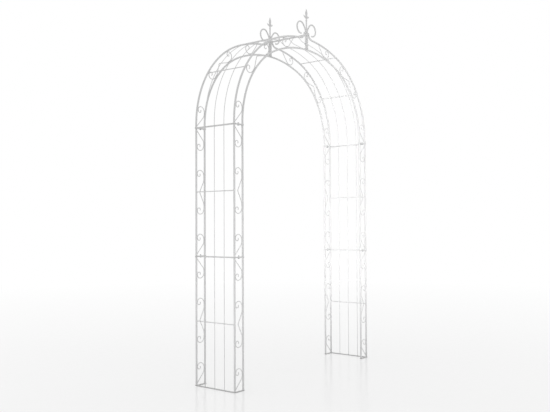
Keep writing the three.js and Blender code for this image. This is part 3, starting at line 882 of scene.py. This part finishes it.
class ROSEARCH_OT_arch_tubes(bpy.types.Operator):
    """Builds the bent tubes of the arch halves"""
    bl_idname = "rosearch.arch_tubes"
    bl_label = "Arch Tubes"

    def outer(self, layout):
        s, stock, bm = layout.s, layout.s.stock, bmesh.new()
        line = layout.arch_line(stock.bar + stock.seat, layout.flare_start, 0)
        centre = Vector((layout.flare_centre, 0, layout.leg + layout.flare_end_z))
        start, turn = -math.pi / 2 - layout.flare_angle, layout.flare_angle - math.pi / 2
        line += layout.arc(centre, s.frame.flare, start, turn)[1:]
        bar_along(bm, line, stock.tube, s.fineness.tube_sides, EASE_SHARES["flare"])
        bead(bm, line[-1] - (X + Z) * stock.tube, Z, (stock.bead * FLARE_WELD_SHARE, stock.rod))
        return bm

    def inner(self, layout):
        s, stock, bm = layout.s, layout.s.stock, bmesh.new()
        bracket(bm, layout, 0.0)
        weld_nut(bm, layout)
        bmesh.ops.translate(bm, vec=Z * layout.leg, verts=bm.verts)
        line = layout.arch_line(stock.bar - stock.bite, layout.arch_run - stock.seat, s.frame.band)
        bar_along(bm, line, stock.tube, s.fineness.tube_sides)
        return bm

    def execute(self, context):
        layout = Layout(context.scene.rose_arch)
        place_all(layout, self.outer(layout), "{side}_arch_{face}_outer_tube")
        place_all(layout, self.inner(layout), "{side}_arch_{face}_inner_tube")
        return {"FINISHED"}


class ROSEARCH_OT_arch_lattices(bpy.types.Operator):
    """Builds the cross bars and wires of the arch halves"""
    bl_idname = "rosearch.arch_lattices"
    bl_label = "Arch Lattices"

    def execute(self, context):
        layout = Layout(context.scene.rose_arch)
        stock, apex, bm = layout.s.stock, layout.s.apex, bmesh.new()
        end_bar(bm, layout, layout.leg)
        top = Vector((layout.post_offset, 0, layout.leg + layout.crown_top + apex.bar_rise))
        crossbar(bm, layout, top, apex.post)
        crossings = [top]
        for place in (stock.low_bar, stock.high_bar):
            rise = place * layout.arch_run
            crossbar(bm, layout, layout.on_arch(rise, layout.bar_inset), stock.tube)
            crossings.append(layout.on_arch(rise, layout.wire_inset + stock.wire))
        bend = layout.arch_line(stock.bar - stock.bite, layout.flare_start, layout.wire_inset)
        wires(bm, layout, bend + [top], crossings, [bend[0] + Z * stock.bite])
        place_all(layout, bm, "{side}_arch_lattice")
        return {"FINISHED"}


class ROSEARCH_OT_arch_scrolls(bpy.types.Operator):
    """Builds the scrolls of the arch halves"""
    bl_idname = "rosearch.arch_scrolls"
    bl_label = "Arch Scrolls"

    def execute(self, context):
        layout = Layout(context.scene.rose_arch)
        scroll, haunch, crown = layout.s.scroll, layout.haunch_stretch, layout.crown_stretch
        near = layout.near + scroll.slack
        hook = layout.hook(near, near, layout.far)
        curl = (layout.curl_nearest(near, layout.far), layout.outer_weld)
        hooked = [(scroll.root, layout.outer_weld), (layout.hook_weld, layout.inner_weld), curl]
        doubled = [(layout.double_weld, layout.inner_weld), curl]
        middle = scroll.double_place * layout.arch_run
        top = layout.arch_run - scroll.setback + scroll.root
        shapes = {"lower_scroll": (hook, 0.0, (haunch,), hooked),
                  "upper_scroll": (hook, top, (-crown,), hooked),
                  "middle_scroll": (layout.double(near, layout.far), middle, (haunch, -haunch), doubled)}
        for kind, (line, rise, stretches, spots) in shapes.items():
            bm = bmesh.new()
            scroll_rod(bm, layout, line, layout.on_arch, rise, stretches[0])
            for stretch in stretches:
                scroll_welds(bm, layout, layout.on_arch, rise, stretch, spots)
            place_all(layout, bm, "{side}_arch_{face}_" + kind)
        return {"FINISHED"}


class ROSEARCH_OT_apex_posts(bpy.types.Operator):
    """Builds the posts that turn over as open loops beside the spears"""
    bl_idname = "rosearch.apex_posts"
    bl_label = "Looped Posts"

    def execute(self, context):
        layout = Layout(context.scene.rose_arch)
        s, apex, bm = layout.s, layout.s.apex, bmesh.new()
        centre = Vector((apex.loop_reach, 0, layout.leg + layout.crown_top + apex.loop_rise))
        loop = layout.arc(centre, apex.loop, math.pi - apex.loop_lean, -apex.loop_turn)
        bend_z = loop[0].z - (loop[0].x - layout.post_offset) / math.tan(apex.loop_lean)
        foot = Vector((layout.post_offset, 0, layout.leg + layout.post_foot))
        corners = [foot, Vector((layout.post_offset, 0, bend_z)), loop[0]]
        line = layout.rounded(corners, [apex.loop_bend]) + loop[1:]
        bar_along(bm, line, apex.post, s.fineness.tube_sides, EASE_SHARES["post"])
        out, up = POST_WELD_SHARES
        bead(bm, line[0] + (X * out + Z * up) * apex.post, Y, (apex.post, s.stock.rod))
        place_all(layout, bm, "{side}_{face}_apex_post")
        return {"FINISHED"}


class ROSEARCH_OT_spears(bpy.types.Operator):
    """Builds the spear finials between the looped posts"""
    bl_idname = "rosearch.spears"
    bl_label = "Spear Finials"

    def head(self, bm, apex, base):
        """The flat head: its right outline, mirrored, filled, thickened and bevelled."""
        right = ((0.0, apex.tip), (apex.blade, apex.shoulder), (apex.heel, apex.heel_rise),
                 (apex.barb * BARB_WAIST_SHARE, apex.barb_rise),
                 (apex.barb, apex.barb_rise + apex.barb_lift),
                 (apex.barb * BARB_HEEL_SHARE, apex.barb_rise - apex.barb_depth / 2),
                 (apex.stem, apex.barb_rise - apex.barb_depth))
        outline = list(right) + [(-x, z) for x, z in reversed(right[1:])]
        edges = closed(bm, [(x, -apex.blade_thick / 2, base + z) for x, z in outline])
        rim = [edge for edge in slab(bm, edges, Y * apex.blade_thick, HEAD_SHARP)
               if abs(edge.verts[0].co.y - edge.verts[1].co.y) < MERGE]
        bevelled(bm, rim, apex.blade_ease, 3)

    def execute(self, context):
        layout = Layout(context.scene.rose_arch)
        s, apex, bm = layout.s, layout.s.apex, bmesh.new()
        crown = layout.leg + layout.crown_top
        foot, top = layout.leg + layout.post_foot, crown + apex.tang_rise
        flat_bar(bm, (2 * apex.stem, apex.tang, top - foot), Z * (top + foot) / 2, s.stock.bar_ease)
        stem = [Z * (top - s.stock.bite), Z * (crown + apex.barb_rise)]
        bar_along(bm, stem, apex.stem, s.fineness.tube_sides)
        bead(bm, Z * top, Y, (apex.tang * TANG_WELD_SHARE, apex.stem * STEM_WELD_SHARE))
        ring = [(apex.collar * reach, apex.collar_height * rise) for reach, rise in COLLAR_SHARES]
        profile = [(0.0, 0.0), (apex.stem, 0.0), *ring, (apex.stem, apex.collar_height),
                   (0.0, apex.collar_height)]
        lathe(bm, profile, Z * (crown + apex.collar_rise), Z, s.fineness.tube_sides)
        self.head(bm, apex, crown)
        place_all(layout, bm, "{face}_spear")
        return {"FINISHED"}


class ROSEARCH_OT_fasteners(bpy.types.Operator):
    """Builds the bolts of the section joints and the bolts and nuts of the apex"""
    bl_idname = "rosearch.fasteners"
    bl_label = "Fasteners"

    def joint_bolt(self, layout):
        s, stock, fit, bm = layout.s, layout.s.stock, layout.s.fasteners, bmesh.new()
        joint = layout.on_leg(0, s.frame.band / 2)
        seat = joint - Z * (stock.bar + 2 * stock.seat)
        end = joint + Z * (stock.bar + fit.nut_height)
        hexagon(bm, fit.head, fit.head_height, seat, -Z)
        bar_along(bm, [seat - Z * stock.bite, end], fit.bolt, s.fineness.tube_sides)
        thread(bm, layout, fit.bolt, fit.pitch, end, Z)
        return bm

    def execute(self, context):
        layout = Layout(context.scene.rose_arch)
        s, fit = layout.s, layout.s.fasteners
        place_all(layout, self.joint_bolt(layout), "{side}_{section}_{face}_joint_bolt", s.frame.section,
                  "zinc_plate")
        middle = Z * (layout.leg + layout.crown_top - fit.apex_drop)
        grip = X * (layout.post_offset + s.apex.post + s.stock.seat)
        end = middle - grip - X * fit.apex_nut_height
        bolt, nut = bmesh.new(), bmesh.new()
        hexagon(bolt, fit.apex_head, fit.apex_head_height, middle + grip, X)
        bar_along(bolt, [middle + grip, end], fit.apex_bolt, s.fineness.tube_sides)
        thread(bolt, layout, fit.apex_bolt, fit.apex_pitch, end, -X)
        hexagon(nut, fit.apex_head, fit.apex_nut_height, middle - grip, -X)
        place_all(layout, bolt, "{face}_apex_bolt", slot="zinc_plate")
        place_all(layout, nut, "{face}_apex_nut", slot="zinc_plate")
        return {"FINISHED"}


class ROSEARCH_OT_stage(bpy.types.Operator):
    """Builds the pale floor, the soft studio light and the camera"""
    bl_idname = "rosearch.stage"
    bl_label = "Studio Stage"

    def floor(self, finish):
        bm = bmesh.new()
        bmesh.ops.create_circle(bm, cap_ends=True, segments=FLOOR_SIDES, radius=FLOOR_RADIUS,
                                matrix=Matrix.Translation(-Z * FLOOR_GAP))
        floor = solid("studio_floor", bm, [floor_paint(finish)])

    def lamp(self, name, power, place, target, size, spread):
        """A soft box with a grid, which keeps its light within the spread."""
        data = bpy.data.lights.new(name, "AREA")
        data.shape = "RECTANGLE"
        data.size, data.size_y = size
        data.energy, data.spread = power, math.radians(spread)
        made = linked(name, data)
        made.location = place
        made.rotation_euler = (Vector(target) - Vector(place)).to_track_quat("-Z", "Y").to_euler()
        made.visible_camera = False

    def room(self, scene, studio):
        """White for the camera and for what the gloss reflects, and a softer light for all else."""
        world = scene.world = bpy.data.worlds.new("studio_white")
        world.use_nodes = True
        tree = world.node_tree
        tree.nodes.clear()
        ray = add_node(tree, "LightPath").outputs
        seen = maths(tree, "MAXIMUM", ray["Is Camera Ray"], ray["Is Glossy Ray"])
        seen = maths(tree, "MAXIMUM", seen, ray["Is Transmission Ray"])
        soft = remap(tree, height(tree, "Generated"), studio.horizon, studio.zenith)
        light = add_node(tree, "Background", {"Color": WHITE, "Strength": remap(tree, seen, soft, 1.0)})
        add_node(tree, "OutputWorld", {"Surface": light.outputs["Background"]})

    def camera(self, scene, studio):
        """The photo's camera: rolled, tilted up from straight down, and turned from +Y towards +X."""
        data = bpy.data.cameras.new("photo_camera")
        data.sensor_fit, data.sensor_width, data.lens = "HORIZONTAL", SENSOR_WIDTH, studio.lens
        camera = scene.camera = linked("photo_camera", data)
        camera.matrix_world = (Matrix.Translation(studio.camera_place)
                               @ Matrix.Rotation(-studio.camera_heading, 4, "Z")
                               @ Matrix.Rotation(math.pi / 2 + studio.camera_pitch, 4, "X")
                               @ Matrix.Rotation(studio.camera_roll, 4, "Z"))

    def execute(self, context):
        scene = context.scene
        finish, studio = scene.rose_arch.finish, scene.rose_arch.studio
        self.floor(finish)
        self.lamp("strip_softbox", studio.strip, *STRIP_LAMP)
        self.lamp("front_softbox", studio.front, *FRONT_LAMP)
        self.room(scene, studio)
        self.camera(scene, studio)
        scene.view_settings.view_transform = "Standard"
        return {"FINISHED"}


BUILDERS = (ROSEARCH_OT_stage, ROSEARCH_OT_uprights, ROSEARCH_OT_leg_lattices, ROSEARCH_OT_arch_tubes,
            ROSEARCH_OT_arch_lattices, ROSEARCH_OT_arch_scrolls, ROSEARCH_OT_apex_posts, ROSEARCH_OT_spears,
            ROSEARCH_OT_fasteners)
GROUPS = (RoseArchFrame, RoseArchStock, RoseArchScrolls, RoseArchApex,
          RoseArchFasteners, RoseArchFineness, RoseArchFinish, RoseArchStudio)


class ROSEARCH_PT_sidebar(bpy.types.Panel):
    """Sizes, colours and builders of the rose arch"""
    bl_idname = "ROSEARCH_PT_sidebar"
    bl_label = "Rose Arch"
    bl_space_type = "VIEW_3D"
    bl_region_type = "UI"
    bl_category = "Rose Arch"

    def draw(self, context):
        settings = context.scene.rose_arch
        for name in settings.bl_rna.properties.keys():
            if name in ("name", "rna_type"):
                continue
            box = self.layout.box()
            box.label(text=settings.bl_rna.properties[name].name)
            held = getattr(settings, name)
            for field in held.bl_rna.properties.keys():
                if field not in ("name", "rna_type"):
                    box.prop(held, field)
        for builder in BUILDERS:
            self.layout.operator(builder.bl_idname)


CLASSES = GROUPS + (RoseArchSettings,) + BUILDERS + (ROSEARCH_PT_sidebar,)


def register():
    for kind in CLASSES:
        bpy.utils.register_class(kind)
    bpy.types.Scene.rose_arch = bpy.props.PointerProperty(type=RoseArchSettings, name="Rose arch",
                                                          description="Sizes and finishes of the arch")


def unregister():
    del bpy.types.Scene.rose_arch
    for kind in reversed(CLASSES):
        bpy.utils.unregister_class(kind)


def main():
    register()
    for builder in BUILDERS:
        group_name, name = builder.bl_idname.split(".")
        getattr(getattr(bpy.ops, group_name), name)()


if __name__ == "__main__":
    main()
